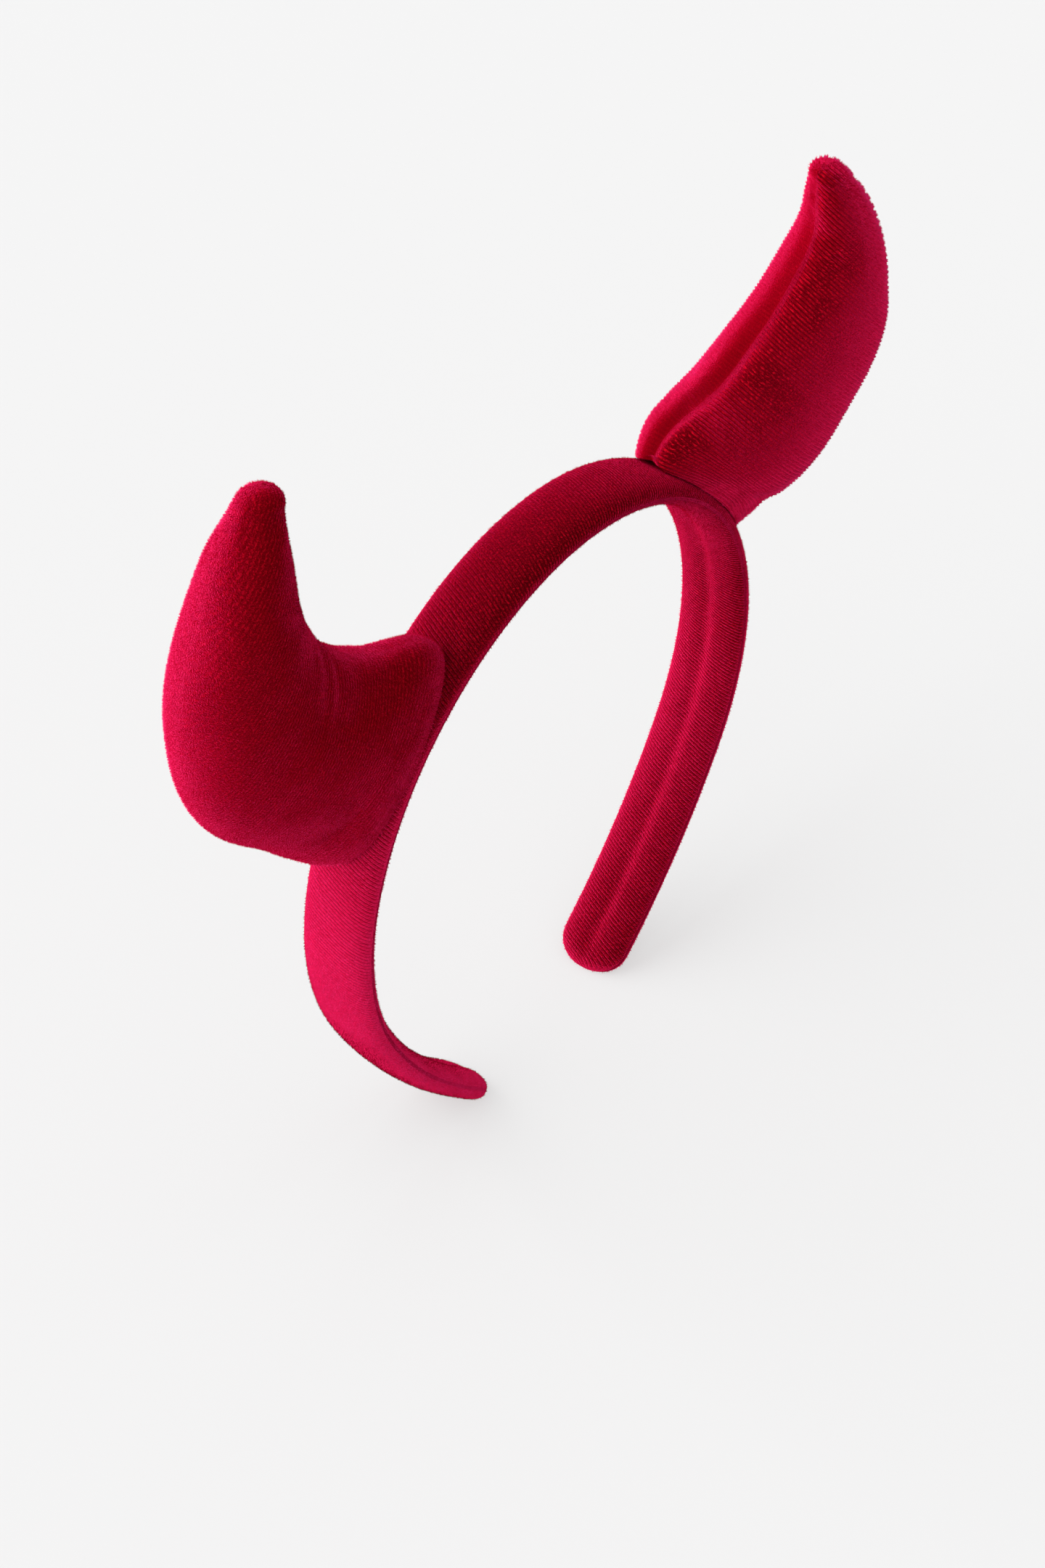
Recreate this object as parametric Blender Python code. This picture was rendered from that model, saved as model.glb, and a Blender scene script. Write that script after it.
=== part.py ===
"""Devil horns headband: a padded velvet band with a stuffed velvet horn sewn to each side of it.

Units are metres and +Z is up. The band is a hoop in the XZ plane that stands on its two ends.
The surface under it is z = 0, and the origin is under the middle of the whole part.
"""

import math

import bmesh
import bpy
from mathutils import Matrix, Vector

# Band. Its middle line is three arcs on each side, from the crown down to the end.
CROWN_RADIUS = 0.070
CROWN_HALF_DEGREES = 117
SIDE_RADIUS = 0.165
SIDE_LENGTH = 0.049
TAIL_RADIUS = 0.194
TAIL_LENGTH = 0.015
BAND_WIDTH = 0.0177
BAND_THICKNESS = 0.0068
# 2 gives the section an oval outline, and more makes its two faces flatter.
BAND_FULLNESS = 2.5
END_ROUND_LENGTH = 0.0073
FOOT_DEPTH = 0.0015
BAND_SEAM_DEPTH = 0.0007
BAND_SEAM_WIDTH = 0.0016

# Horns
HORN_REACH = 0.072
HORN_BASE_LENGTH = 0.048
HORN_THICKNESS = 0.028
HORN_NECK_LENGTH = 0.010
HORN_SEAM_DEPTH = 0.0008
HORN_SEAM_MOST_SHARE = 0.06
HORN_SEAT_GAP = 0.0003
# These two are shares of the band's width and of its half thickness.
HORN_BASE_WIDTH_SHARE = 0.95
HORN_BASE_SINK_SHARE = 0.8

# Fineness of the meshes
STATION_STEP = 0.006
BAND_HALF_SECTION_POINTS = 6
HORN_SECTION_POINTS = 20
HORN_STEPS_PER_ROW = 3
SHARP_DEGREES = 50

# How far along a rounded end its rings stand, from its start at 0 to its tip at 1
END_STATIONS = (0.35, 0.6, 0.8, 0.92, 0.98)

# One row for each section of a horn above its base, in shares. "out" is the distance from the
# band over HORN_REACH, "along" the distance towards the crown over HORN_BASE_LENGTH, and
# "thick" the thickness over HORN_THICKNESS. The inner edge is the hollow one, above.
#    inner out, inner along, outer out, outer along, thick
LEFT_SECTIONS = (
    (0.09, 0.56, 0.10, -0.56, 0.75),
    (0.23, 0.47, 0.29, -0.53, 0.89),
    (0.43, 0.45, 0.53, -0.46, 0.96),
    (0.63, 0.61, 0.72, -0.26, 0.91),
    (0.78, 0.85, 0.88, 0.08, 0.77),
    (0.86, 0.98, 0.98, 0.56, 0.60),
    (0.89, 1.04, 1.03, 0.96, 0.33),
)
RIGHT_SECTIONS = (
    (0.12, 0.56, 0.07, -0.53, 0.90),
    (0.29, 0.47, 0.24, -0.55, 1.06),
    (0.46, 0.50, 0.49, -0.48, 0.99),
    (0.60, 0.55, 0.74, -0.25, 0.90),
    (0.79, 0.68, 0.90, 0.13, 0.74),
    (0.89, 0.90, 1.00, 0.57, 0.52),
    (0.93, 1.00, 1.03, 0.91, 0.33),
)

# One row for each horn: its node, its side of the band and, in degrees, how far round from the
# crown it is sewn, how far it turns towards the crown, how far it flops towards +Y and how far
# it twists, then its sections.
#    node, side, seat, turn, flop, twist, sections
HORNS = (
    ("horn_left", -1, 50.5, -5.1, 11.6, -9.2, LEFT_SECTIONS),
    ("horn_right", 1, 49.8, 3.9, -15.2, 0.1, RIGHT_SECTIONS),
)

BAND_COLOUR = (0.36, 0.002, 0.030, 1.0)
HORN_COLOUR = (0.33, 0.002, 0.028, 1.0)
VELVET_ROUGHNESS = 0.85


def clear_scene():
    for obj in list(bpy.data.objects):
        bpy.data.objects.remove(obj, do_unlink=True)


def velvet(name, colour):
    material = bpy.data.materials.new(name)
    material.use_nodes = True
    shader = material.node_tree.nodes["Principled BSDF"]
    shader.inputs["Base Color"].default_value = colour
    shader.inputs["Roughness"].default_value = VELVET_ROUGHNESS
    shader.inputs["Metallic"].default_value = 0.0
    return material


def band_arcs():
    """Rows (radius, length) of the band's middle line on one side, from the crown down."""
    crown_length = CROWN_RADIUS * math.radians(CROWN_HALF_DEGREES)
    return ((CROWN_RADIUS, crown_length), (SIDE_RADIUS, SIDE_LENGTH), (TAIL_RADIUS, TAIL_LENGTH))


def band_place(distance):
    """The middle of the band and its outward direction, this far along it from the crown."""
    side = math.copysign(1.0, distance)
    left = abs(distance)
    x = z = angle = 0.0
    for radius, length in band_arcs():
        step = min(left, length)
        turned = angle + step / radius
        x += radius * (math.sin(turned) - math.sin(angle))
        z += radius * (math.cos(turned) - math.cos(angle))
        angle = turned
        left -= step
    return Vector((side * x, 0, z)), Vector((side * math.sin(angle), 0, math.cos(angle)))


def band_section(grown):
    """Points (across, outward) round the padded section. The seam dents its inner face."""
    half_width = BAND_WIDTH / 2 + grown
    half_thickness = BAND_THICKNESS / 2 + grown
    count = BAND_HALF_SECTION_POINTS
    outer = []
    inner = []
    for index in range(-count, count + 1):
        share = math.sin(math.pi / 2 * index / count)
        rise = (1 - abs(share) ** BAND_FULLNESS) ** (1 / BAND_FULLNESS)
        across = half_width * share
        seam = BAND_SEAM_DEPTH * math.exp(-((across / BAND_SEAM_WIDTH) ** 2))
        outer.append((across, half_thickness * rise))
        inner.append((across, seam - half_thickness * rise))
    return outer + inner[-2:0:-1]


def band_stations():
    """Rows (distance, width share, thickness share) from the left end to the right one."""
    straight = sum(length for radius, length in band_arcs()) - END_ROUND_LENGTH
    count = math.ceil(2 * straight / STATION_STEP)
    rows = [(straight * (2 * index / count - 1), 1.0, 1.0) for index in range(count + 1)]
    for share in END_STATIONS:
        distance = straight + END_ROUND_LENGTH * share
        width = math.sqrt(1 - share**2)
        thickness = math.sqrt(1 - share**4)
        rows.insert(0, (-distance, width, thickness))
        rows.append((distance, width, thickness))
    return rows


def band_rings(grown=0.0):
    section = band_section(grown)
    rings = []
    for distance, width, thickness in band_stations():
        middle, outward = band_place(distance)
        ring = []
        for across, out in section:
            ring.append(middle + Vector((0, across * width, 0)) + outward * (out * thickness))
        rings.append(ring)
    return rings


def loft(rings):
    """A closed mesh through rings that all have the same number of points."""
    mesh = bmesh.new()
    loops = []
    for ring in rings:
        verts = [mesh.verts.new(point) for point in ring]
        loops.append([mesh.edges.new(pair) for pair in zip(verts, verts[1:] + verts[:1])])
    for near, far in zip(loops, loops[1:]):
        bmesh.ops.bridge_loops(mesh, edges=near + far)
    bmesh.ops.holes_fill(mesh, edges=loops[0] + loops[-1], sides=0)
    bmesh.ops.recalc_face_normals(mesh, faces=mesh.faces)
    return mesh


def make_object(name, mesh, material):
    data = bpy.data.meshes.new(name)
    mesh.to_mesh(data)
    mesh.free()
    data.materials.append(material)
    data.shade_smooth()
    data.set_sharp_from_angle(angle=math.radians(SHARP_DEGREES))
    obj = bpy.data.objects.new(name, data)
    bpy.context.collection.objects.link(obj)
    return obj


def make_band(floor):
    """The padded band, with each end pressed flat where it stands on the floor."""
    mesh = loft(band_rings())
    cut = bmesh.ops.bisect_plane(
        mesh,
        geom=mesh.verts[:] + mesh.edges[:] + mesh.faces[:],
        plane_co=(0, 0, floor),
        plane_no=(0, 0, 1),
        clear_inner=True,
    )
    rim = [item for item in cut["geom_cut"] if isinstance(item, bmesh.types.BMEdge)]
    bmesh.ops.holes_fill(mesh, edges=rim, sides=0)
    bmesh.ops.recalc_face_normals(mesh, faces=mesh.faces)
    return make_object("headband", mesh, velvet("band_velvet", BAND_COLOUR))


def make_clearance():
    """The band grown by the seat gap. It cuts the underside of each horn to the band."""
    mesh = loft(band_rings(HORN_SEAT_GAP))
    cutter = make_object("band_clearance", mesh, velvet("guide", BAND_COLOUR))
    cutter.hide_render = True
    cutter.display_type = "WIRE"
    return cutter


def horn_rows(sections):
    """Rows (inner out, inner along, outer out, outer along, half thickness) in metres."""
    sink = -HORN_BASE_SINK_SHARE * BAND_THICKNESS / 2
    half_base = HORN_BASE_LENGTH / 2
    base = (sink, half_base, sink, -half_base, HORN_BASE_WIDTH_SHARE * BAND_WIDTH / 2)
    rows = [Vector(base)]
    for inner_out, inner_along, outer_out, outer_along, thick in sections:
        row = (
            inner_out * HORN_REACH,
            inner_along * HORN_BASE_LENGTH,
            outer_out * HORN_REACH,
            outer_along * HORN_BASE_LENGTH,
            thick * HORN_THICKNESS / 2,
        )
        rows.append(Vector(row))
    return rows


def smooth_rows(rows):
    """The rows with more between them, on a smooth curve through each column."""
    padded = [2 * rows[0] - rows[1]] + rows + [2 * rows[-1] - rows[-2]]
    finer = []
    for before, start, end, after in zip(padded, padded[1:], padded[2:], padded[3:]):
        for step in range(HORN_STEPS_PER_ROW):
            t = step / HORN_STEPS_PER_ROW
            curve = 2 * start + (end - before) * t
            curve += (2 * before - 5 * start + 4 * end - after) * t**2
            curve += (3 * start - before - 3 * end + after) * t**3
            finer.append(curve / 2)
    return finer + [rows[-1]]


def tip_rows(rows):
    """Rows that round off the tip, past the last section."""
    inner_out, inner_along, outer_out, outer_along, half_thick = rows[-1]
    middle = Vector((inner_out + outer_out, inner_along + outer_along)) / 2
    half_chord = Vector((inner_out - outer_out, inner_along - outer_along)) / 2
    previous = rows[-3]
    heading = middle - Vector((previous[0] + previous[2], previous[1] + previous[3])) / 2
    heading.normalize()
    caps = []
    for share in END_STATIONS:
        shrink = math.sqrt(1 - share**2)
        centre = middle + heading * (half_thick * share)
        inner = centre + half_chord * shrink
        outer = centre - half_chord * shrink
        caps.append(Vector((inner.x, inner.y, outer.x, outer.y, half_thick * shrink)))
    return caps


def horn_ring(row):
    """Points (outward, across, along) round one section. Each seam dents its edge."""
    inner = Vector((row[0], 0, row[1]))
    outer = Vector((row[2], 0, row[3]))
    middle = (inner + outer) / 2
    half_chord = (inner - outer) / 2
    dent = min(HORN_SEAM_DEPTH / half_chord.length, HORN_SEAM_MOST_SHARE)
    ring = []
    for index in range(HORN_SECTION_POINTS):
        angle = 2 * math.pi * index / HORN_SECTION_POINTS
        on_seam = index in (0, HORN_SECTION_POINTS // 2)
        point = middle + half_chord * math.cos(angle) * (1 - dent * on_seam)
        point.y = row[4] * math.sin(angle)
        ring.append(point)
    return ring


def horn_lean(point, side, seat, turn, flop, twist):
    """A horn's own point in the band's frame. The lean grows from nothing over the neck."""
    grip = max(0.0, min(1.0, point.x / HORN_NECK_LENGTH))
    radius = CROWN_RADIUS + BAND_THICKNESS / 2
    drop = point.z**2 / (2 * radius)
    held = point - Vector((drop * (1 - grip), 0, 0))
    turned = Matrix.Rotation(-turn * grip, 3, "Y") @ held
    flopped = Matrix.Rotation(flop * grip, 3, "Z") @ turned
    twisted = Matrix.Rotation(-twist * grip, 3, "X") @ flopped
    outward = Vector((side * math.sin(seat), 0, math.cos(seat)))
    along = Vector((-side * math.cos(seat), 0, math.sin(seat)))
    centre = Vector((0, 0, -CROWN_RADIUS))
    return centre + outward * (radius + twisted.x) + Vector((0, twisted.y, 0)) + along * twisted.z


def make_horn(name, side, seat, turn, flop, twist, sections, cutter):
    """A stuffed horn whose underside is cut to the band below it."""
    rows = smooth_rows(horn_rows(sections))
    rows += tip_rows(rows)
    angles = [math.radians(angle) for angle in (seat, turn, flop, twist)]
    rings = []
    for row in rows:
        rings.append([horn_lean(point, side, *angles) for point in horn_ring(row)])
    horn = make_object(name, loft(rings), velvet(name + "_velvet", HORN_COLOUR))
    seat_cut = horn.modifiers.new("seat_cut", "BOOLEAN")
    seat_cut.operation = "DIFFERENCE"
    seat_cut.solver = "EXACT"
    seat_cut.object = cutter
    return horn


def stand_up(pieces, others, floor):
    """Puts the floor at z = 0 and the middle of the whole part over the origin."""
    bpy.context.view_layer.update()
    graph = bpy.context.evaluated_depsgraph_get()
    corners = [Vector(corner) for piece in pieces for corner in piece.evaluated_get(graph).bound_box]
    middle_x = (min(c.x for c in corners) + max(c.x for c in corners)) / 2
    middle_y = (min(c.y for c in corners) + max(c.y for c in corners)) / 2
    for obj in pieces + others:
        obj.location = (-middle_x, -middle_y, -floor)


def main():
    clear_scene()
    lowest = min(point.z for ring in band_rings() for point in ring)
    floor = lowest + FOOT_DEPTH
    band = make_band(floor)
    clearance = make_clearance()
    horns = [make_horn(*row, clearance) for row in HORNS]
    stand_up([band] + horns, [clearance], floor)


main()
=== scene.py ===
"""The looks of a velvet headband with a stuffed devil horn on each side.

Units are metres and +Z is up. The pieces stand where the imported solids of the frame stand.
"""

import math

import bmesh
import bpy
from bpy.props import FloatProperty, FloatVectorProperty, IntProperty, PointerProperty
from mathutils import Matrix, Vector, noise


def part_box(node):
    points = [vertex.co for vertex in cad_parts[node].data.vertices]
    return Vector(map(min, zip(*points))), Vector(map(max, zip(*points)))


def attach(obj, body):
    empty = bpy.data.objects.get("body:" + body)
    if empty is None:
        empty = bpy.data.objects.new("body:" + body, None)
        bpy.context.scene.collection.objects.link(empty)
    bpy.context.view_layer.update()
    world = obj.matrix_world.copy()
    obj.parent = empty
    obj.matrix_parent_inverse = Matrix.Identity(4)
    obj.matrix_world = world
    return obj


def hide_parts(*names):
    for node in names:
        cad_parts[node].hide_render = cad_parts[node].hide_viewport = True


bl_info = {
    "name": "Devil Horns Headband",
    "version": (1, 0, 0),
    "blender": (4, 5, 0),
    "location": "3D View > Sidebar > Headband",
    "description": "Makes a padded velvet headband with two stuffed horns, and its stage",
    "category": "Add Mesh",
}

MILLIMETRE = 0.001

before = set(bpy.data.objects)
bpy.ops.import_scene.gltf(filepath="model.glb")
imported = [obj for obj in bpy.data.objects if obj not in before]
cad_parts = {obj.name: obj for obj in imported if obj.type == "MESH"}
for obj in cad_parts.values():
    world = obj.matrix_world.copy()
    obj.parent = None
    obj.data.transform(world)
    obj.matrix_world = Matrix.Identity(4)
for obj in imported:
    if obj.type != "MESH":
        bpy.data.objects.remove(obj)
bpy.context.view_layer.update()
BAND_LOW, BAND_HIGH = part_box("headband")

# One row for each section of a horn above its base, in shares. "out" is the distance from the
# band over the reach, "along" the distance towards the crown over the base length, and "thick"
# the thickness over the horn's own. The inner edge is the hollow one, above.
#    inner out, inner along, outer out, outer along, thick
LEFT_SECTIONS = (
    (0.09, 0.56, 0.10, -0.56, 0.75),
    (0.23, 0.47, 0.29, -0.53, 0.89),
    (0.43, 0.45, 0.53, -0.46, 0.96),
    (0.63, 0.61, 0.72, -0.26, 0.91),
    (0.78, 0.85, 0.88, 0.08, 0.77),
    (0.86, 0.98, 0.98, 0.56, 0.60),
    (0.89, 1.04, 1.03, 0.96, 0.33),
)
RIGHT_SECTIONS = (
    (0.12, 0.56, 0.07, -0.53, 0.90),
    (0.29, 0.47, 0.24, -0.55, 1.06),
    (0.46, 0.50, 0.49, -0.48, 0.99),
    (0.60, 0.55, 0.74, -0.25, 0.90),
    (0.79, 0.68, 0.90, 0.13, 0.74),
    (0.89, 0.90, 1.00, 0.57, 0.52),
    (0.93, 1.00, 1.03, 0.91, 0.33),
)

# How each velvet is laid: how early it shows its side colour, which is painted sheen, the turn of
# the knit's rows, how much the rows (with their painted shade and painted glints) and the crushed
# patches show, and how much of that a horn's +Y panel keeps. The band has no panels, and keeps
# what lies midway between that and all of it. The velvet settings hold the colour of each pile,
# darker or lighter from piece to piece as painted shade and painted light, and how far it leans.
#    painted sheen gain, row turn, row share, crush, back share
FINISHES = {
    "left": (1.47, 0.0, 0.25, 0.35, 1.0),
    "right": (1.15, 0.0, 1.0, 1.0, 0.2),
    "band": (1.24, math.radians(22), 0.95, 0.35, 0.5),
}

# One row for each horn: its piece, its node, its finish, its side of the band and, in degrees, how
# far round from the crown it is sewn, how far it turns towards the crown, how far it flops towards
# +Y and how far it twists. Then its sections, how deep its hollow seam and the gathers at its
# notch lie, in metres, and how many times longer the fibres are at its tip.
#    piece, node, finish, side, (seat, turn, flop, twist), sections, seam depth, gathers, fray
HORNS = (
    (
        "stuffed_horn_left", "horn_left", "left", -1, (50.5, -5.1, 11.6, -9.2),
        LEFT_SECTIONS, 0.0004, 0.0007, 1.2,
    ),
    (
        "stuffed_horn_right", "horn_right", "right", 1, (49.8, 3.9, -15.2, 0.1),
        RIGHT_SECTIONS, 0.0021, 0.0, 1.6,
    ),
)

# How far along a rounded end its rings stand, from its start at 0 to its tip at 1
END_STATIONS = (0.2, 0.38, 0.54, 0.68, 0.8, 0.89, 0.95, 0.985)
# Shares of a horn's base that the rings of its underside stand at
UNDERSIDE_STATIONS = (0.12, 0.35, 0.6, 0.82)
CLOTH_FRAMES = 20

# Rows (from, to, change) of how the lean of the band's pile changes along the band, from its crown
# towards the right end. It starts at -1, which is towards the left end.
NAP_CHANGES = ((0.04, 0.08, 0.5), (0.09, 0.15, 1.2))
# Distances from the crown towards the left end, between which the band twists
TWIST_SPAN = (0.15, 0.20)
# How many rings from each end the inner seam fades in over
SEAM_FADE_RINGS = 14
# The lengths of one radian of the two waves in the band's padding
QUILT_WAVES = (0.0127, 0.0081)


def length(name, description, millimetres):
    return FloatProperty(
        name=name,
        description=description,
        default=millimetres * MILLIMETRE,
        unit="LENGTH",
        precision=4,
    )


def angle(name, description, degrees):
    return FloatProperty(
        name=name, description=description, default=math.radians(degrees), unit="ROTATION"
    )


def number(name, description, value):
    return FloatProperty(name=name, description=description, default=value, precision=3)


def colour(name, description, value):
    return FloatVectorProperty(
        name=name, description=description, default=value, subtype="COLOR", size=3, min=0, max=1
    )


class HeadbandBandSettings(bpy.types.PropertyGroup):
    crown_radius: length("Crown radius", "Radius of the middle line over the head", 70)
    crown_angle: angle("Crown angle", "Half of the angle that the crown arc spans", 117)
    side_radius: length("Side radius", "Radius of the middle line at the sides", 165)
    side_length: length("Side length", "Length of each side arc", 49)
    tail_radius: length("Tail radius", "Radius of the middle line near the ends", 194)
    tail_length: length("Tail length", "Length of each tail arc", 15)
    width: length("Width", "Width of the padded band", 17.7)
    thickness: length("Thickness", "Thickness of the padded band", 6.8)
    fullness: number("Fullness", "2 is an oval section, and more is flatter", 2.5)
    end_round: length("End rounding", "Length of each rounded end", 7.3)
    seam_depth: length("Seam depth", "How deep the cover's seam lies in the inner face", 0.8)
    seam_width: length("Seam width", "Half width of the seam's hollow", 1.3)
    seam_lap: length("Seam lap", "How much one side of the seam stands over the other", 0.25)
    end_twist: angle("End twist", "How far the left end is twisted", 7)
    quilt: length("Unevenness", "How far the padding swells and sinks along the band", 0.18)


class HeadbandHornSettings(bpy.types.PropertyGroup):
    reach: length("Reach", "How far a horn stands out from the band", 72)
    base_length: length("Base length", "Length of a horn's base along the band", 48)
    thickness: length("Thickness", "Greatest thickness of a horn", 28)
    neck: length("Neck", "Height over which a horn's lean grows from nothing", 10)
    seat_gap: length("Seat gap", "Space between a horn's underside and the band", 0.3)
    base_width: number("Base width", "Share of the band's width that a base covers", 0.95)
    seam_width: length("Seam width", "Half width of the hollow along a seam", 2.5)
    seam_fade: length("Seam fade", "How far out the hollow seam grows shallow", 42)
    outer_seam_depth: length("Outer seam depth", "How deep the other seam lies", 0.02)
    unevenness: length("Unevenness", "How far the stuffing stands out and sinks", 0.5)
    lump_size: length("Lump size", "Size of the lumps of the stuffing", 16)
    pucker: length("Pucker depth", "How deep the gathers beside the seam are", 0.25)
    pucker_pitch: length("Pucker pitch", "Distance between gathers along a seam", 6.5)
    pressure: number("Stuffing", "Pressure of the stuffing on the cloth", 4.0)
    swell_cap: length("Most swelling", "How far the stuffing may move the cloth", 0.6)
    slack: number("Slack", "Share by which the cloth is wider than the horn", 0.004)
    notch: length("Notch", "How far along the horn its hollow edge bends most", 35)


class HeadbandVelvetSettings(bpy.types.PropertyGroup):
    # The band's and the two horns' colours stand for one velvet. The band's is darkest and the
    # right horn's lightest, as painted shade and painted light piece by piece.
    band_colour: colour("Band colour", "Colour of the band's pile", (0.062, 0.0002, 0.001))
    left_colour: colour("Left colour", "Colour of the left horn's pile", (0.12, 0.0002, 0.0015))
    right_colour: colour("Right colour", "Colour of the right horn's pile", (0.22, 0.0002, 0.004))
    # Painted sheen: the slant colour and then the side colour are painted where the pile is seen
    # at a slant and from its side, and the falloff sets how soon that fades face on.
    painted_slant_sheen_colour: colour(
        "Slant colour", "Colour of the pile seen at a slant", (0.44, 0.0008, 0.018)
    )
    painted_sheen_colour: colour("Side colour", "Colour of the pile seen from its side", (1.0, 0.028, 0.18))
    painted_sheen_power: number("Side falloff", "How soon the side colour fades face on", 3.0)
    deep_share: number("Depth", "Brightness of the pile where it is crushed", 0.4)
    # The gaps between the rows are darkened as painted shade.
    gap_shade_share: number("Gap depth", "Brightness of the gaps between the rows", 0.35)
    # Painted glints: this colour is painted on the tufts that should catch the light.
    painted_glint_colour: colour(
        "Glitter colour", "Colour of the tufts that catch the light", (0.48, 0.003, 0.012)
    )
    tuft_stretch: number("Tuft stretch", "Share by which a tuft is shorter than wide", 0.6)
    sheen_colour: colour("Sheen", "Colour of the light on the pile's tips", (1.0, 0.008, 0.09))
    sheen_weight: number("Sheen weight", "Strength of the sheen", 0.8)
    sheen_roughness: number("Sheen roughness", "Spread of the sheen", 0.4)
    roughness: number("Roughness", "Roughness under the sheen", 0.8)
    band_nap: number("Band nap", "How far the band's pile leans, as a slope", 0.66)
    left_nap: number("Left nap", "How far the left horn's pile leans, as a slope", 0.6)
    right_nap: number("Right nap", "How far the right horn's pile leans, as a slope", 0.45)
    rib_pitch: length("Rib pitch", "Distance between the rows of the knit", 0.84)
    rib_depth: length("Rib depth", "Height of the rows of the knit", 0.12)
    grain: length("Pile grain", "Size of the tufts of the pile", 0.35)
    grain_depth: length("Grain depth", "Height of the tufts of the pile", 0.14)
    # The mottling breaks the painted sheen into light and dark tufts.
    sheen_mottle: length("Mottling", "Size of the light and dark tufts seen from the side", 1.1)
    crush_size: length("Crush size", "Size of the patches of crushed pile", 11)


class HeadbandPileSettings(bpy.types.PropertyGroup):
    band_density: number("Band density", "Fibres on a square millimetre of the band", 5.0)
    horn_density: number("Horn density", "Fibres on a square millimetre of a horn", 7.1)
    length: length("Fibre length", "Length of a fibre", 0.48)
    radius: length("Fibre radius", "Radius of a tuft's foot", 0.085)
    lean: number("Fibre lean", "How far the fibres follow the nap", 0.8)
    stray: number("Stray", "How far the fibres stray from their neighbours", 0.35)
    shortest: number("Shortest", "Share of the length that the shortest fibre has", 0.5)
    seed: IntProperty(name="Seed", description="Seed of the fibres' places", default=7)


class HeadbandStageSettings(bpy.types.PropertyGroup):
    camera_place: FloatVectorProperty(
        name="Camera place",
        description="Where the camera stands",
        default=(-0.53427, -0.37337, 0.69234),
        unit="LENGTH",
    )
    camera_turn: FloatVectorProperty(
        name="Camera turn",
        description="How the camera is turned, as XYZ angles",
        default=tuple(math.radians(a) for a in (46.7435, -1.6692, -53.2183)),
        subtype="EULER",
    )
    camera_lens: number("Camera lens", "Focal length in millimetres on a 36 mm sensor", 92.25)
    floor_size: length("Floor size", "Side of the floor", 8000)
    floor_colour: colour("Floor colour", "Colour of the floor", (0.228, 0.228, 0.228))
    floor_glow: number("Floor glow", "Light of the floor, which softens the shadows", 0.553)
    sky_strength: number("Sky strength", "Brightness of the light from all around", 0.5)
    sky_contrast: number("Sky contrast", "How much brighter the light from the left is", 2.2)
    sky_top: number("Sky top", "How much brighter the light from above is", 1.7)
    sky_turn: angle("Sky turn", "Compass direction of the brightest light, from +X", 150)
    window_strength: number("Window strength", "Brightness of the light from the left", 4.3)
    window_angle: angle("Window size", "How wide the window's light spreads", 100)
    window_turn: angle("Window turn", "Compass direction of the window, from +X", 138)
    window_height: angle("Window height", "Height of the window's light over the floor", 8)


def settings():
    return bpy.context.scene.headband


def ease(value, low, high):
    """0 up to low and 1 from high on, with a soft step between."""
    share = min(1.0, max(0.0, (value - low) / (high - low)))
    return share**2 * (3 - 2 * share)


class Nodes:
    """Short names for the shader nodes that the materials use."""

    def __init__(self, tree):
        self.tree = tree

    def make(self, kind, inputs=(), **options):
        node = self.tree.nodes.new(kind)
        for name, value in options.items():
            setattr(node, name, value)
        for key, value in dict(inputs).items():
            if isinstance(key, str):
                key = next(i for i, s in enumerate(node.inputs) if s.name == key and s.enabled)
            self.put(node.inputs[key], value)
        return node

    def put(self, socket, value):
        if isinstance(value, bpy.types.NodeSocket):
            self.tree.links.new(value, socket)
        else:
            socket.default_value = value

    def math(self, operation, first, second=0.0, clamp=False):
        values = {0: first, 1: second}
        return self.make("ShaderNodeMath", values, operation=operation, use_clamp=clamp).outputs[0]

    def vector(self, operation, first, second=None, scale=None):
        values = {0: first}
        if second is not None:
            values[1] = second
        if scale is not None:
            values["Scale"] = scale
        node = self.make("ShaderNodeVectorMath", values, operation=operation)
        return node.outputs["Value" if operation == "DOT_PRODUCT" else "Vector"]

    def attribute(self, name, output="Vector"):
        return self.make("ShaderNodeAttribute", attribute_name=name).outputs[output]

    def named(self, name):
        """A vector attribute, for Geometry Nodes."""
        node = self.make(
            "GeometryNodeInputNamedAttribute", {"Name": name}, data_type="FLOAT_VECTOR"
        )
        return next(s for s in node.outputs if s.enabled and s.name == "Attribute")

    def chance(self, seed, low=0.0, high=1.0, kind="FLOAT"):
        """A random value for each point, for Geometry Nodes."""
        values = {"Min": low, "Max": high, "Seed": seed}
        node = self.make("FunctionNodeRandomValue", values, data_type=kind)
        return next(s for s in node.outputs if s.enabled)

    def noise(self, place, size, detail=2.0, roughness=0.5, distortion=0.0):
        values = {
            "Vector": place,
            "Scale": 1 / size,
            "Detail": detail,
            "Roughness": roughness,
            "Distortion": distortion,
        }
        return self.make("ShaderNodeTexNoise", values).outputs["Fac"]

    def spread(self, value, low, high, to_low=0.0, to_high=1.0):
        values = {"Value": value, 1: low, 2: high, 3: to_low, 4: to_high}
        return self.make("ShaderNodeMapRange", values, interpolation_type="SMOOTHSTEP").outputs[0]

    def mix(self, share, first, second):
        """The first colour, and the second where the share is 1."""
        node = self.make("ShaderNodeMix", data_type="RGBA")
        for key, value in (("Factor_Float", share), ("A_Color", first), ("B_Color", second)):
            socket = next(s for s in node.inputs if s.identifier == key)
            self.put(socket, value)
        return next(s for s in node.outputs if s.identifier == "Result_Color")


def knit_rows(nodes, cloth, place, rib_turn):
    """The rows of the knit, from -1 in a gap to 1 on a row, at this place on the flat cloth."""
    across = (math.cos(rib_turn), -math.sin(rib_turn), 0.0)
    turns = math.tau / settings().velvet.rib_pitch
    turned = nodes.math("MULTIPLY", nodes.vector("DOT_PRODUCT", cloth, across), turns)
    wander = nodes.math("MULTIPLY", nodes.noise(place, 0.010, 1.0), 4.0)
    return nodes.math("SINE", nodes.math("ADD", turned, wander))


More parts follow.
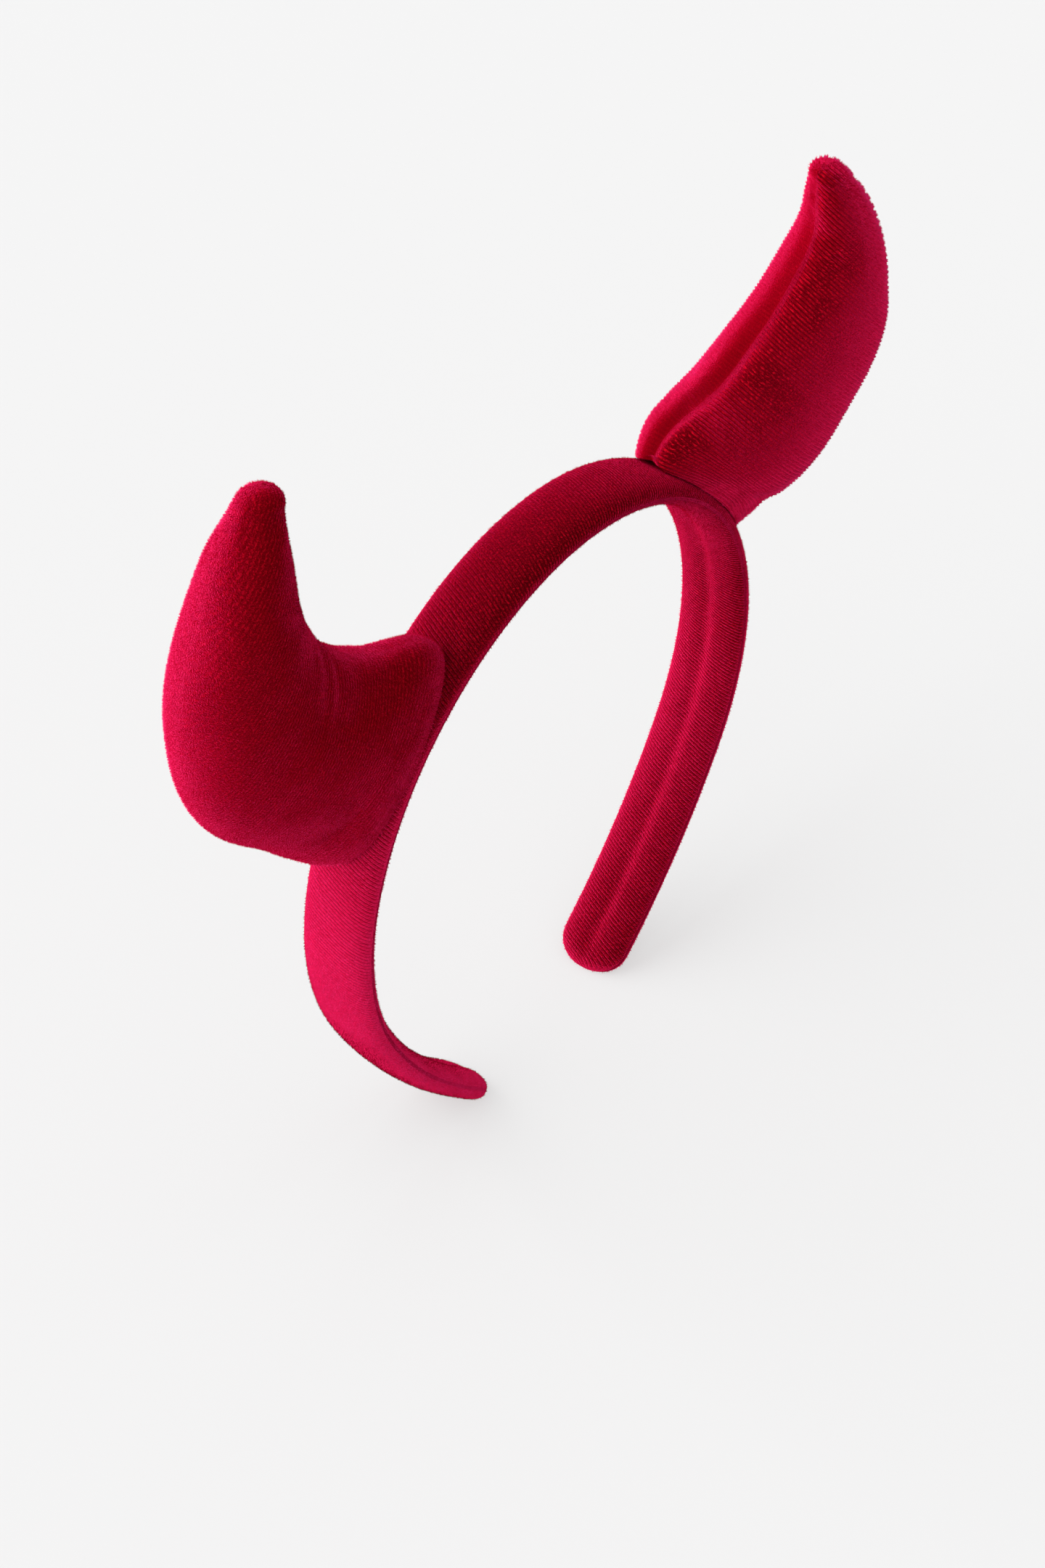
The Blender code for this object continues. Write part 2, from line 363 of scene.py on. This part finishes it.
def velvet(name, finish, loose=False):
    """Velvet whose pile leans the way that each piece's nap attribute points.

    The finish is the name of a row of FINISHES. The loose one is for the single fibres.
    """
    painted_sheen_gain, rib_turn, rib_share, crush, back_share = FINISHES[finish]
    look = settings().velvet
    # Each piece's pile colour is the one velvet made darker or lighter as painted shade and
    # painted light.
    shaded_pile_colour = getattr(look, finish + "_colour")
    nap_lean = getattr(look, finish + "_nap")
    material = bpy.data.materials.new(name)
    material.use_nodes = True
    nodes = Nodes(material.node_tree)
    shader = material.node_tree.nodes["Principled BSDF"]

    place = nodes.make("ShaderNodeTexCoord").outputs["Object"]
    cloth = nodes.attribute("cloth")
    rows = knit_rows(nodes, cloth, place, rib_turn)
    turn = {"Vector": cloth, "Rotation": (0, 0, rib_turn), "Scale": (1.0, look.tuft_stretch, 1.0)}
    tuft_place = nodes.make("ShaderNodeMapping", turn).outputs[0]
    tufts = nodes.noise(tuft_place, look.rib_pitch * 0.4, 2.0, 0.65)
    grain = nodes.noise(place, look.grain, 3.0, 0.65)
    crushed = nodes.noise(place, look.crush_size, 3.0, 0.55, 0.6)
    patch = nodes.spread(crushed, 0.42, 0.58)
    gaps = nodes.spread(rows, -0.95, 0.1, 1.0, 0.0)
    panel = nodes.vector("DOT_PRODUCT", cloth, (0, 0, 1))
    combed = nodes.spread(panel, -0.8, 0.8, 1.0, back_share)
    gaps = nodes.math("MULTIPLY", nodes.math("MULTIPLY", gaps, combed), rib_share, clamp=True)

    # Colour: crushed patches are deeper, the gaps between the rows are darker as painted shade,
    # and tufts carry painted glints.
    deep = [channel * look.deep_share for channel in shaded_pile_colour] + [1.0]
    dark = [channel * look.gap_shade_share for channel in shaded_pile_colour] + [1.0]
    full = list(shaded_pile_colour) + [1.0]
    crush_here = nodes.math("MULTIPLY", combed, crush)
    base = nodes.mix(nodes.math("MULTIPLY", patch, crush_here, clamp=True), full, deep)
    base = nodes.mix(gaps, base, dark)
    on_rows = nodes.math("MULTIPLY", rows, 0.08)
    painted_glint = nodes.spread(nodes.math("ADD", tufts, on_rows), 0.52, 0.72)
    painted_glint = nodes.math("MULTIPLY", painted_glint, combed)
    painted_glint = nodes.math("MULTIPLY", painted_glint, 0.25 + 0.75 * rib_share)
    # A fibre picked at random carries a painted glint.
    if loose:
        painted_glint = nodes.spread(nodes.attribute("fleck", "Fac"), 0.72, 0.9)
    # Fine painted glints follow the grain.
    fine_painted_glint = nodes.math("MULTIPLY", nodes.spread(grain, 0.56, 0.72), 0.35)
    painted_glint = nodes.math("MAXIMUM", painted_glint, fine_painted_glint)
    base = nodes.mix(painted_glint, base, list(look.painted_glint_colour) + [1.0])

    # The nap tilts the shading towards the way the pile leans.
    normal = nodes.make("ShaderNodeNewGeometry").outputs["Normal"]
    swing = nodes.math("MULTIPLY", crush_here, nodes.spread(crushed, 0.3, 0.7, 0.6, -0.6))
    lean = nodes.math("MULTIPLY", nodes.math("ADD", swing, 1.0), nap_lean)
    leaning = nodes.vector("SCALE", nodes.attribute("nap"), scale=lean)
    napped = nodes.vector("NORMALIZE", nodes.vector("ADD", normal, leaning))
    height = nodes.math("MULTIPLY", gaps, -look.rib_depth)
    height = nodes.math("ADD", height, nodes.math("MULTIPLY", tufts, rib_share * look.rib_depth))
    height = nodes.math("ADD", height, nodes.math("MULTIPLY", grain, look.grain_depth * 2))
    bump = {"Height": height, "Strength": 1.0, "Distance": 1.0, "Normal": napped}
    bumped = napped if loose else nodes.make("ShaderNodeBump", bump).outputs[0]
    nodes.put(shader.inputs["Normal"], bumped)

    # Painted sheen: pile seen from its side is brighter than pile seen from above its tips,
    # painted as the slant colour and then the side colour, in mottled tufts.
    weight = nodes.make("ShaderNodeLayerWeight", {"Blend": 0.5, "Normal": bumped})
    facing = weight.outputs["Facing"]
    side = nodes.math("POWER", nodes.math("MULTIPLY", facing, painted_sheen_gain), look.painted_sheen_power)
    side = nodes.math("MINIMUM", side, 1.0)
    slant_sheen_share = nodes.spread(side, -0.5, 0.5, -1.0, 1.0)
    base = nodes.mix(nodes.math("MAXIMUM", slant_sheen_share, 0.0), base, list(look.painted_slant_sheen_colour) + [1.0])
    side_sheen_share = nodes.math("SUBTRACT", nodes.math("MULTIPLY", side, 2.0), 1.0, clamp=True)
    sheen_mottle = nodes.spread(nodes.noise(place, look.sheen_mottle, 3.0, 0.7), 0.36, 0.62, 0.62, 1.0)
    side_sheen_share = nodes.math("MULTIPLY", side_sheen_share, sheen_mottle)
    base = nodes.mix(side_sheen_share, base, list(look.painted_sheen_colour) + [1.0])
    nodes.put(shader.inputs["Base Color"], base)

    roughness = nodes.spread(grain, 0.3, 0.7, look.roughness - 0.08, look.roughness + 0.08)
    nodes.put(shader.inputs["Roughness"], roughness)
    shader.inputs["Specular IOR Level"].default_value = 0.0
    shader.inputs["Sheen Weight"].default_value = 0.0 if loose else look.sheen_weight
    shader.inputs["Sheen Roughness"].default_value = look.sheen_roughness
    shader.inputs["Sheen Tint"].default_value = list(look.sheen_colour) + [1.0]
    return material


def crown_middle():
    """The top of the band's middle line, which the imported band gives."""
    x = (BAND_LOW.x + BAND_HIGH.x) / 2
    y = (BAND_LOW.y + BAND_HIGH.y) / 2
    return Vector((x, y, BAND_HIGH.z - settings().band.thickness / 2))


def band_arcs():
    """Rows (radius, length) of the band's middle line on one side, from the crown down."""
    band = settings().band
    return (
        (band.crown_radius, band.crown_radius * band.crown_angle),
        (band.side_radius, band.side_length),
        (band.tail_radius, band.tail_length),
    )


def band_place(distance):
    """The middle of the band, its outward direction and its direction to the right end."""
    side = math.copysign(1.0, distance)
    left = abs(distance)
    x = z = turned = 0.0
    for radius, arc_length in band_arcs():
        step = min(left, arc_length)
        after = turned + step / radius
        x += radius * (math.sin(after) - math.sin(turned))
        z += radius * (math.cos(after) - math.cos(turned))
        turned = after
        left -= step
    middle = crown_middle() + Vector((side * x, 0, z))
    outward = Vector((side * math.sin(turned), 0, math.cos(turned)))
    return middle, outward, Vector((outward.z, 0, -outward.x))


def band_rise(share):
    """Height of the section over its middle, as a share, at this share of its half width."""
    fullness = settings().band.fullness
    return max(0.0, 1 - min(1.0, abs(share)) ** fullness) ** (1 / fullness)


def band_section(points):
    """Rows (across, outward, girth, seam) round the section, from one edge over the outer face.

    "seam" is how far the cover's seam lifts the inner face there.
    """
    band = settings().band
    rows = []
    for index in range(points):
        turned = math.tau * index / points
        share = -math.cos(turned)
        across = band.width / 2 * share
        outward = band.thickness / 2 * band_rise(share)
        seam = 0.0
        if math.sin(turned) < -1e-9:
            lap = band.seam_lap * math.tanh(across / (band.seam_width / 3))
            fade = math.exp(-((across / (3 * band.seam_width)) ** 2))
            seam = band.seam_depth * math.exp(-((across / band.seam_width) ** 2)) + lap * fade
            outward = -outward
        rows.append([across, outward, 0.0, seam])
    for before, after in zip(rows, rows[1:]):
        after[2] = before[2] + math.hypot(after[0] - before[0], after[1] - before[1])
    return rows


def band_stations(step):
    """Rows (distance, width share, thickness share) from the left end to the right one."""
    straight = sum(arc_length for radius, arc_length in band_arcs()) - settings().band.end_round
    count = math.ceil(2 * straight / step)
    rows = [(straight * (2 * index / count - 1), 1.0, 1.0) for index in range(count + 1)]
    for share in END_STATIONS:
        distance = straight + settings().band.end_round * share
        width = math.sqrt(1 - share**2)
        thickness = math.sqrt(1 - share**4)
        rows.insert(0, (-distance, width, thickness))
        rows.append((distance, width, thickness))
    return rows


def loft(rings):
    """A closed bmesh through rings of (place, cloth, nap, seam) rows, all with as many rows.

    The last three are kept as attributes of the mesh.
    """
    mesh = bmesh.new()
    cloth_layer = mesh.verts.layers.float_vector.new("cloth")
    nap_layer = mesh.verts.layers.float_vector.new("nap")
    seam_layer = mesh.verts.layers.float_vector.new("seam")
    loops = []
    for ring in rings:
        verts = []
        for place, cloth, nap, seam in ring:
            vert = mesh.verts.new(place)
            vert[cloth_layer] = cloth
            vert[nap_layer] = nap
            vert[seam_layer] = seam
            verts.append(vert)
        loops.append([mesh.edges.new(pair) for pair in zip(verts, verts[1:] + verts[:1])])
    for near, far in zip(loops, loops[1:]):
        bmesh.ops.bridge_loops(mesh, edges=near + far)
    for end in (loops[0], loops[-1]):
        filled = bmesh.ops.holes_fill(mesh, edges=end, sides=0)
        bmesh.ops.poke(mesh, faces=filled["faces"])
    bmesh.ops.recalc_face_normals(mesh, faces=mesh.faces)
    return mesh


def make_piece(name, mesh, material):
    data = bpy.data.meshes.new(name)
    mesh.to_mesh(data)
    mesh.free()
    data.materials.append(material)
    data.shade_smooth()
    piece = bpy.data.objects.new(name, data)
    bpy.context.scene.collection.objects.link(piece)
    return piece


def apply_modifiers(piece):
    """Puts what the modifiers make into the piece's own mesh."""
    graph = bpy.context.evaluated_depsgraph_get()
    made = bpy.data.meshes.new_from_object(
        piece.evaluated_get(graph), preserve_all_data_layers=True, depsgraph=graph
    )
    piece.modifiers.clear()
    piece.data = made


def subdivide(piece, levels):
    modifier = piece.modifiers.new("smoothing", "SUBSURF")
    modifier.levels = levels
    modifier.render_levels = levels


def rest_on_floor(piece):
    """Presses flat what would lie under the floor."""
    for vert in piece.data.vertices:
        vert.co.z = max(vert.co.z, 0.0)


def hand_in(piece, node):
    """Sets the piece to ride on the root body, and hides the imported part that it stands for."""
    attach(piece, "root")
    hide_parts(node)


def add_pile(piece, name, finish, density, fray=1.0):
    """Stands short fibres on the cloth, as the fuzz of the velvet, in one mesh of their own.

    "fray" is how many times longer they are at a horn's tip.
    """
    pile = settings().pile
    horn = settings().horn
    rib_turn, rib_share = FINISHES[finish][1:3]
    tree = bpy.data.node_groups.new(name, "GeometryNodeTree")
    tree.interface.new_socket("Geometry", in_out="OUTPUT", socket_type="NodeSocketGeometry")
    nodes = Nodes(tree)
    source = nodes.make("GeometryNodeObjectInfo", {"Object": piece}).outputs["Geometry"]
    spots = nodes.make(
        "GeometryNodeDistributePointsOnFaces",
        {"Mesh": source, "Density": density * 1e6, "Seed": pile.seed},
    )
    normal = spots.outputs["Normal"]
    rooted = nodes.make(
        "GeometryNodeStoreNamedAttribute",
        {"Geometry": spots.outputs["Points"], "Name": "root_normal", "Value": normal},
        data_type="FLOAT_VECTOR",
    )
    # A random pick for each fibre, which the velvet turns into painted glints.
    glint_picked = nodes.make(
        "GeometryNodeStoreNamedAttribute",
        {"Geometry": rooted.outputs[0], "Name": "fleck", "Value": nodes.chance(pile.seed + 1)},
        data_type="FLOAT",
    )

    # Few fibres stand in the gaps between the rows of the knit.
    cloth = nodes.named("cloth")
    place = nodes.make("GeometryNodeInputPosition").outputs[0]
    rows = knit_rows(nodes, cloth, place, rib_turn)
    thin = nodes.math("MULTIPLY", nodes.spread(rows, -0.8, 0.5, 1.0, 0.0), 0.9 * rib_share)
    bare = nodes.math("LESS_THAN", nodes.chance(pile.seed + 4), thin)
    kept = nodes.make(
        "GeometryNodeDeleteGeometry", {"Geometry": glint_picked.outputs[0], "Selection": bare}
    )

    # Each fibre leans with the nap and strays a little.
    lean = pile.lean * getattr(settings().velvet, finish + "_nap")
    heading = nodes.vector("ADD", normal, nodes.vector("SCALE", nodes.named("nap"), scale=lean))
    stray = nodes.chance(pile.seed + 2, (-1, -1, -1), (1, 1, 1), "FLOAT_VECTOR")
    heading = nodes.vector("ADD", heading, nodes.vector("SCALE", stray, scale=pile.stray))
    aligned = nodes.make("FunctionNodeAlignRotationToVector", {"Vector": heading}, axis="Z")
    out = nodes.vector("DOT_PRODUCT", cloth, (1, 0, 0))
    longer = nodes.spread(out, 0.90 * horn.reach, 1.02 * horn.reach, 1.0, fray)
    size = nodes.math("MULTIPLY", nodes.chance(pile.seed + 3, pile.shortest), longer)
    fibre = nodes.make(
        "GeometryNodeMeshCone",
        {"Vertices": 3, "Radius Top": 0.0, "Radius Bottom": pile.radius, "Depth": pile.length},
        fill_type="NONE",
    )
    standing = nodes.make(
        "GeometryNodeInstanceOnPoints",
        {
            "Points": kept.outputs[0],
            "Instance": fibre.outputs["Mesh"],
            "Rotation": aligned.outputs[0],
            "Scale": size,
        },
    )
    single = nodes.make("GeometryNodeRealizeInstances", {0: standing.outputs[0]}).outputs[0]
    cover = velvet(name + "_velvet", finish, loose=True)
    covered = nodes.make("GeometryNodeSetMaterial", {"Geometry": single, "Material": cover})
    result = tree.nodes.new("NodeGroupOutput")
    tree.links.new(covered.outputs[0], result.inputs[0])

    fuzz = make_piece(name, bmesh.new(), cover)
    modifier = fuzz.modifiers.new("pile", "NODES")
    modifier.node_group = tree
    apply_modifiers(fuzz)
    bpy.data.node_groups.remove(tree)
    # Fibres this fine let the light through, so they shade neither the cloth nor each other.
    fuzz.visible_shadow = False
    fuzz.visible_diffuse = False
    # Each fibre is lit as the cloth under its foot is.
    roots = fuzz.data.attributes["root_normal"].data
    normals = [tuple(root.vector) for root in roots]
    fuzz.data.normals_split_custom_set_from_vertices(normals)
    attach(fuzz, "root")


class HEADBAND_OT_band(bpy.types.Operator):
    """Makes the padded band, pressed flat where its ends stand on the floor"""

    bl_idname = "headband.band"
    bl_label = "Padded band"

    step: FloatProperty(name="Step", description="Length of a face", default=1.6 * MILLIMETRE)
    points: IntProperty(name="Points", description="Points round the section", default=36)

    def execute(self, context):
        band = settings().band
        section = band_section(self.points)
        stations = band_stations(self.step)
        rings = []
        for index, (distance, width, thickness) in enumerate(stations):
            middle, outward, onward = band_place(distance)
            # The pile lies towards the left end, and is brushed down low on the right leg.
            brushed = -1.0
            for near, far, change in NAP_CHANGES:
                brushed += change * ease(distance, near, far)
            sewn = ease(index, 0, SEAM_FADE_RINGS)
            sewn *= ease(len(stations) - index, 0, SEAM_FADE_RINGS)
            twist = band.end_twist * ease(-distance, *TWIST_SPAN)
            across_way = Vector((0, math.cos(twist), 0)) + outward * math.sin(twist)
            outward = outward * math.cos(twist) - Vector((0, math.sin(twist), 0))
            swell = band.quilt * math.sin(distance / QUILT_WAVES[0])
            swell *= math.sin(distance / QUILT_WAVES[1] + 1)
            ring = []
            for across, out, girth, seam in section:
                lift = out * thickness * (1 + swell / band.thickness) + seam * sewn
                place = middle + across_way * (across * width) + outward * lift
                ring.append((place, Vector((distance, girth, 0)), onward * brushed, Vector()))
            rings.append(ring)
        piece = make_piece("padded_band", loft(rings), velvet("band_velvet", "band"))
        rest_on_floor(piece)
        subdivide(piece, 1)
        apply_modifiers(piece)
        rest_on_floor(piece)
        hand_in(piece, "headband")
        add_pile(piece, "headband_pile", "band", settings().pile.band_density)
        return {"FINISHED"}


def smooth_rows(rows, steps):
    """The rows with more between them, on a smooth curve through each column."""
    padded = [2 * rows[0] - rows[1]] + rows + [2 * rows[-1] - rows[-2]]
    finer = []
    for before, start, end, after in zip(padded, padded[1:], padded[2:], padded[3:]):
        for step in range(steps):
            t = step / steps
            curve = 2 * start + (end - before) * t
            curve += (2 * before - 5 * start + 4 * end - after) * t**2
            curve += (3 * start - before - 3 * end + after) * t**3
            finer.append(curve / 2)
    return finer + [rows[-1]]


def horn_rows(sections, steps):
    """Rows (inner out, inner along, outer out, outer along, half thickness) in metres."""
    horn = settings().horn
    band = settings().band
    sink = -0.4 * band.thickness
    half_base = horn.base_length / 2
    rows = [Vector((sink, half_base, sink, -half_base, horn.base_width * band.width / 2))]
    for inner_out, inner_along, outer_out, outer_along, thick in sections:
        row = (
            inner_out * horn.reach,
            inner_along * horn.base_length,
            outer_out * horn.reach,
            outer_along * horn.base_length,
            thick * horn.thickness / 2,
        )
        rows.append(Vector(row))
    return smooth_rows(rows, steps)


def tip_rows(rows):
    """Rows that round off the tip, past the last section."""
    last = rows[-1]
    middle = Vector((last[0] + last[2], last[1] + last[3])) / 2
    half_chord = Vector((last[0] - last[2], last[1] - last[3])) / 2
    previous = rows[-5]
    heading = middle - Vector((previous[0] + previous[2], previous[1] + previous[3])) / 2
    heading.normalize()
    caps = []
    for share in END_STATIONS:
        shrink = math.sqrt(1 - share**2)
        centre = middle + heading * (last[4] * share)
        inner = centre + half_chord * shrink
        outer = centre - half_chord * shrink
        caps.append(Vector((inner.x, inner.y, outer.x, outer.y, last[4] * shrink)))
    return caps


def horn_lean(point, side, seat, turn, flop, twist):
    """A horn's own point in the scene. The lean grows from nothing over the neck."""
    horn = settings().horn
    band = settings().band
    grip = max(0.0, min(1.0, point.x / horn.neck))
    radius = band.crown_radius + band.thickness / 2
    drop = point.z**2 / (2 * radius)
    held = point - Vector((drop * (1 - grip), 0, 0))
    turned = Matrix.Rotation(-turn * grip, 3, "Y") @ held
    flopped = Matrix.Rotation(flop * grip, 3, "Z") @ turned
    twisted = Matrix.Rotation(-twist * grip, 3, "X") @ flopped
    outward = Vector((side * math.sin(seat), 0, math.cos(seat)))
    along = Vector((-side * math.cos(seat), 0, math.sin(seat)))
    centre = crown_middle() - Vector((0, 0, band.crown_radius))
    place = centre + outward * (radius + twisted.x)
    return place + Vector((0, twisted.y, 0)) + along * twisted.z


def on_band(point):
    """The point, lifted to the seat gap over the band's outer face if it is lower."""
    horn = settings().horn
    band = settings().band
    rise = band_rise(point.y / (band.width / 2)) - 1
    lowest = rise * band.thickness / 2 + horn.seat_gap
    return Vector((max(point.x, lowest), point.y, point.z))


def horn_ring(row, points, place_of):
    """Rows (place, cloth, nap, seam) round one section of a horn.

    "cloth" is the place on the flat panel and the panel's side. "seam" is the distance to the
    inner seam and to the outer one.
    """
    inner = Vector((row[0], 0, row[1]))
    outer = Vector((row[2], 0, row[3]))
    middle = (inner + outer) / 2
    half_chord = (inner - outer) / 2
    rows = []
    for index in range(points):
        turned = math.tau * index / points
        point = middle + half_chord * math.cos(turned)
        point.y = row[4] * math.sin(turned)
        panel = 1.0 if index <= points // 2 else -1.0
        place = place_of(on_band(point))
        nap = (place_of(on_band(point) + Vector((MILLIMETRE, 0, 0))) - place).normalized()
        rows.append((place, Vector((point.x, point.z, panel)), nap))
    girths = [0.0]
    for near, far in zip(rows, rows[1:] + rows[:1]):
        girths.append(girths[-1] + (far[0] - near[0]).length)
    ring = []
    for index, (place, cloth, nap) in enumerate(rows):
        to_inner = min(girths[index], girths[-1] - girths[index])
        to_outer = abs(girths[points // 2] - girths[index])
        ring.append((place, cloth, nap, Vector((to_inner, to_outer, 0))))
    return ring


def horn_rings(side, angles, sections, steps, points):
    """Rings from the middle of the underside, over the base, to the tip."""

    def place_of(point):
        return horn_lean(point, side, *angles)

    rows = horn_rows(sections, steps)
    rows += tip_rows(rows)
    base = rows[0]
    under = []
    for share in UNDERSIDE_STATIONS:
        under.append(Vector((base[0], base[1] * share, base[2], base[3] * share, base[4] * share)))
    return [horn_ring(row, points, place_of) for row in under + rows]


def stuff(piece):
    """Lets the cloth swell as stuffing makes it, held at its inner seam and its base."""
    horn = settings().horn
    held = piece.vertex_groups.new(name="held")
    to_inner = [item.vector.x for item in piece.data.attributes["seam"].data]
    heights = [item.vector.x for item in piece.data.attributes["cloth"].data]
    for index, (distance, height) in enumerate(zip(to_inner, heights)):
        if distance < 0.3 * MILLIMETRE or height < horn.neck / 5:
            held.add([index], 1.0, "REPLACE")
    before = [vert.co.copy() for vert in piece.data.vertices]
    cloth = piece.modifiers.new("stuffing", "CLOTH")
    cloth.settings.vertex_group_mass = "held"
    cloth.settings.use_pressure = True
    cloth.settings.uniform_pressure_force = horn.pressure
    cloth.settings.shrink_min = -horn.slack
    cloth.settings.quality = 6
    cloth.settings.effector_weights.gravity = 0.0
    cloth.point_cache.frame_start = 1
    cloth.point_cache.frame_end = CLOTH_FRAMES
    scene = bpy.context.scene
    for moment in range(1, CLOTH_FRAMES + 1):
        scene.frame_set(moment)
    apply_modifiers(piece)
    for vert, start in zip(piece.data.vertices, before):
        moved = vert.co - start
        if moved.length > horn.swell_cap:
            moved *= horn.swell_cap / moved.length
        vert.co = start + moved
    scene.frame_set(1)


def sew(piece, seam_depth, notch_depth):
    """Draws the cloth in along the two seams, and gathers it beside the inner one."""
    horn = settings().horn
    mesh = bmesh.new()
    mesh.from_mesh(piece.data)
    mesh.normal_update()
    cloth_layer = mesh.verts.layers.float_vector["cloth"]
    seam_layer = mesh.verts.layers.float_vector["seam"]
    moves = []
    for vert in mesh.verts:
        out, panel = vert[cloth_layer].xz
        to_inner, to_outer = vert[seam_layer].xy
        # The inner seam is deepest low on the horn and ends at its tip.
        low = 1 / (1 + math.exp((out - horn.seam_fade) / (4 * MILLIMETRE)))
        drawn = seam_depth * (0.25 + 0.75 * low) * ease(horn.reach - out, 0, 8 * MILLIMETRE)
        drawn *= math.exp(-((to_inner / horn.seam_width) ** 2))
        drawn += horn.outer_seam_depth * math.exp(-((to_outer / (0.6 * horn.seam_width)) ** 2))
        # Gathers stand beside it, and most at the notch.
        uneven = noise.noise(Vector((out / (8 * MILLIMETRE), panel * 3, 0.4)))
        notch = math.exp(-(((out - horn.notch) / (10 * MILLIMETRE)) ** 2))
        turns = math.tau * out / horn.pucker_pitch + 3.0 * uneven + to_inner / (5 * MILLIMETRE)
        gather = horn.pucker * (0.3 + 0.5 * uneven) + notch_depth * notch
        gather *= 0.5 + 0.5 * math.cos(turns)
        gather *= math.exp(-to_inner / ((3 + 8 * notch) * MILLIMETRE))
        gather *= 1 - math.exp(-to_inner / (1.5 * MILLIMETRE))
        # The stuffing lies unevenly, except at the base.
        sag = horn.unevenness * noise.noise(vert.co / horn.lump_size)
        edge = min(1.0, max(0.0, out / (6 * MILLIMETRE)))
        moves.append(vert.normal * (edge * (sag - gather) - drawn))
    for vert, move in zip(mesh.verts, moves):
        vert.co += move
    mesh.to_mesh(piece.data)
    mesh.free()


class HEADBAND_OT_horns(bpy.types.Operator):
    """Makes the two stuffed horns on the band"""

    bl_idname = "headband.horns"
    bl_label = "Stuffed horns"

    steps: IntProperty(name="Steps", description="Rings for each row of a section", default=8)
    points: IntProperty(name="Points", description="Points round a section", default=48)

    def execute(self, context):
        for name, node, finish, side, degrees, sections, seam_depth, gathers, fray in HORNS:
            angles = [math.radians(value) for value in degrees]
            cover = velvet(node + "_velvet", finish)
            rings = horn_rings(side, angles, sections, self.steps, self.points)
            piece = make_piece(name, loft(rings), cover)
            stuff(piece)
            subdivide(piece, 2)
            apply_modifiers(piece)
            sew(piece, seam_depth, gathers)
            hand_in(piece, node)
            density = settings().pile.horn_density
            add_pile(piece, node + "_pile", finish, density, fray)
        return {"FINISHED"}


def plain(name, value, roughness):
    material = bpy.data.materials.new(name)
    material.use_nodes = True
    shader = material.node_tree.nodes["Principled BSDF"]
    shader.inputs["Base Color"].default_value = list(value) + [1.0]
    shader.inputs["Roughness"].default_value = roughness
    return material


class HEADBAND_OT_stage(bpy.types.Operator):
    """Makes the floor, the light and the camera"""

    bl_idname = "headband.stage"
    bl_label = "Floor, light and camera"

    def execute(self, context):
        stage = settings().stage
        scene = bpy.context.scene
        mesh = bmesh.new()
        bmesh.ops.create_grid(mesh, x_segments=1, y_segments=1, size=stage.floor_size / 2)
        white = plain("floor_white", stage.floor_colour, 0.9)
        shader = white.node_tree.nodes["Principled BSDF"]
        shader.inputs["Emission Color"].default_value = (1, 1, 1, 1)
        shader.inputs["Emission Strength"].default_value = stage.floor_glow
        floor = make_piece("floor", mesh, white)

        world = bpy.data.worlds.new("soft_sky")
        world.use_nodes = True
        background = world.node_tree.nodes["Background"]
        background.inputs["Color"].default_value = (1, 1, 1, 1)
        nodes = Nodes(world.node_tree)
        towards = nodes.make("ShaderNodeTexCoord").outputs["Generated"]
        turn = stage.sky_turn
        side = nodes.vector("DOT_PRODUCT", towards, (math.cos(turn), math.sin(turn), 0.0))
        brightest = stage.sky_strength * stage.sky_contrast
        bright = nodes.spread(side, -0.6, 1.0, stage.sky_strength, brightest)
        upward = nodes.vector("DOT_PRODUCT", towards, (0, 0, 1))
        bright = nodes.math("MULTIPLY", bright, nodes.spread(upward, 0.0, 1.0, 1.0, stage.sky_top))
        nodes.put(background.inputs["Strength"], bright)
        scene.world = world

        window = bpy.data.lights.new("window", "SUN")
        window.energy = stage.window_strength
        window.angle = stage.window_angle
        lamp = bpy.data.objects.new("window", window)
        level = math.cos(stage.window_height)
        turn = stage.window_turn
        aim = (math.cos(turn) * level, math.sin(turn) * level, math.sin(stage.window_height))
        lamp.rotation_mode = "QUATERNION"
        lamp.rotation_quaternion = Vector(aim).to_track_quat("Z", "Y")
        scene.collection.objects.link(lamp)

        lens = bpy.data.cameras.new("camera")
        lens.lens = stage.camera_lens
        lens.sensor_width = 36
        lens.clip_start = 0.01
        camera = bpy.data.objects.new("camera", lens)
        camera.location = stage.camera_place
        camera.rotation_euler = stage.camera_turn
        scene.collection.objects.link(camera)
        scene.camera = camera
        scene.view_settings.view_transform = "Standard"
        return {"FINISHED"}


class HeadbandSettings(bpy.types.PropertyGroup):
    band: PointerProperty(type=HeadbandBandSettings)
    horn: PointerProperty(type=HeadbandHornSettings)
    velvet: PointerProperty(type=HeadbandVelvetSettings)
    pile: PointerProperty(type=HeadbandPileSettings)
    stage: PointerProperty(type=HeadbandStageSettings)


class HEADBAND_PT_panel(bpy.types.Panel):
    """Lists the headband's pieces and its stage"""

    bl_idname = "HEADBAND_PT_panel"
    bl_label = "Devil Horns Headband"
    bl_space_type = "VIEW_3D"
    bl_region_type = "UI"
    bl_category = "Headband"

    def draw(self, context):
        for operator in (HEADBAND_OT_band, HEADBAND_OT_horns, HEADBAND_OT_stage):
            self.layout.operator(operator.bl_idname)


CLASSES = (
    HeadbandBandSettings,
    HeadbandHornSettings,
    HeadbandVelvetSettings,
    HeadbandPileSettings,
    HeadbandStageSettings,
    HeadbandSettings,
    HEADBAND_OT_band,
    HEADBAND_OT_horns,
    HEADBAND_OT_stage,
    HEADBAND_PT_panel,
)


def register():
    for kind in CLASSES:
        bpy.utils.register_class(kind)
    bpy.types.Scene.headband = PointerProperty(type=HeadbandSettings)


def unregister():
    del bpy.types.Scene.headband
    for kind in reversed(CLASSES):
        bpy.utils.unregister_class(kind)


def main():
    register()
    bpy.ops.headband.band()
    bpy.ops.headband.horns()
    bpy.ops.headband.stage()


if __name__ == "__main__":
    main()
